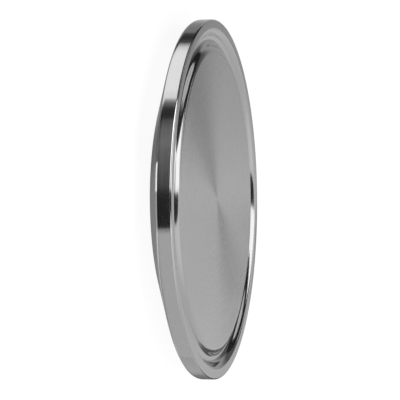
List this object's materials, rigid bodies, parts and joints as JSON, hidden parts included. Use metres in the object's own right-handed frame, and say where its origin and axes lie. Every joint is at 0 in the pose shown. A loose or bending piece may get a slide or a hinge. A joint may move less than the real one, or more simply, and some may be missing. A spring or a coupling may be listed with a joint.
{
  "type": "sanitary clamp end cap",
  "caption": "Solid round blank for a hygienic clamp joint: a thin turned disc with a bevelled back edge, a sealing land and a gasket groove.",
  "frame": {"origin": "centre of the flat back face, on the disc's axis", "axes": "+Z along the disc's axis, out of the gasket face; the disc lies on its back face"},
  "size_m": [0.064, 0.064, 0.0063],
  "materials": {
    "turned_stainless": "fine turned satin, with bright groove and edges"
  },
  "bodies": {
    "root": {"end_cap": "turned_stainless"}
  },
  "joints": []
}
